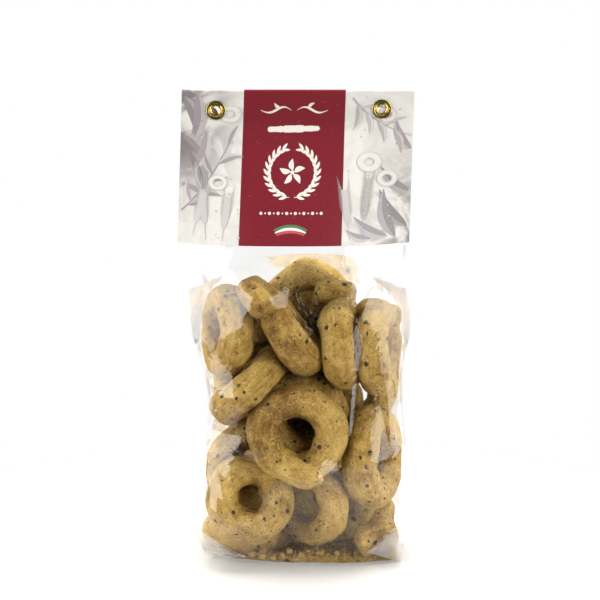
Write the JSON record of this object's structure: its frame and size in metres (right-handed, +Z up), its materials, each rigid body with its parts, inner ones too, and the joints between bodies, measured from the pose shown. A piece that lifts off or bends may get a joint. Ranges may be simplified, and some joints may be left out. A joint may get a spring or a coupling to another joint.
{
  "type": "bag of taralli",
  "caption": "Sealed clear gusseted bag of ring-shaped baked snacks, standing on its base, its neck pressed flat in a folded card header held by two eyelets.",
  "frame": {"origin": "centre of the bag's footprint, on the surface it stands on", "axes": "+Z up, +X to the right of the printed face, -Y out of the printed face"},
  "size_m": [0.1169, 0.0704, 0.235],
  "materials": {
    "film": null,
    "card": "printed card with a light sheen",
    "eyelet": "polished brass plate"
  },
  "bodies": {
    "root": {"bag": "film", "header_card": "card", "eyelet_left": "eyelet", "eyelet_right": "eyelet"}
  },
  "joints": []
}
